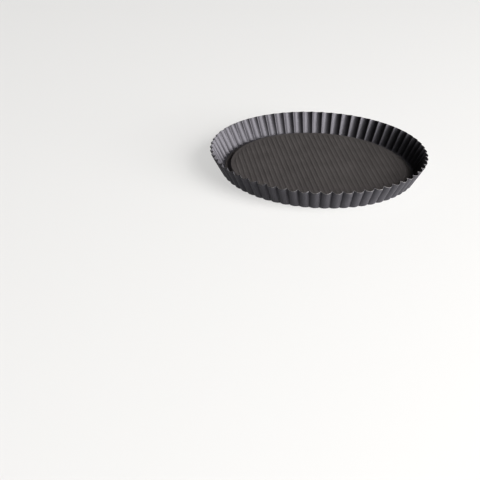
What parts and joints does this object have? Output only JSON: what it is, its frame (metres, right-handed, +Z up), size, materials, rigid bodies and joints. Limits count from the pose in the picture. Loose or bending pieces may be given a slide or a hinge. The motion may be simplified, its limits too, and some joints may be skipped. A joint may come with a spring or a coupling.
{
  "type": "tart pan",
  "caption": "Round fluted tart pan with a flared wall and a loose lift-out base, whose raised ribbed plateau leaves a moat along the wall.",
  "frame": {"origin": "centre of the pan on the surface that it stands on", "axes": "+Z up along the pan's axis, out of its open top; +X and +Y level, with a fold of the fluted wall on +X"},
  "size_m": [0.2795, 0.2796, 0.028],
  "materials": {
    "ring_coating": "dark grey non-stick coating on sheet steel, satin",
    "base_coating": "dark grey non-stick coating on sheet steel, satin, with pressed ribs"
  },
  "bodies": {
    "ring": {"fluted_ring": "ring_coating"},
    "base": {"loose_base": "base_coating"}
  },
  "joints": [
    {"name": "base_lift", "type": "slide", "parent": "ring", "child": "base", "axis": [0, 0, 1], "range_m": [0, 0.06]}
  ]
}
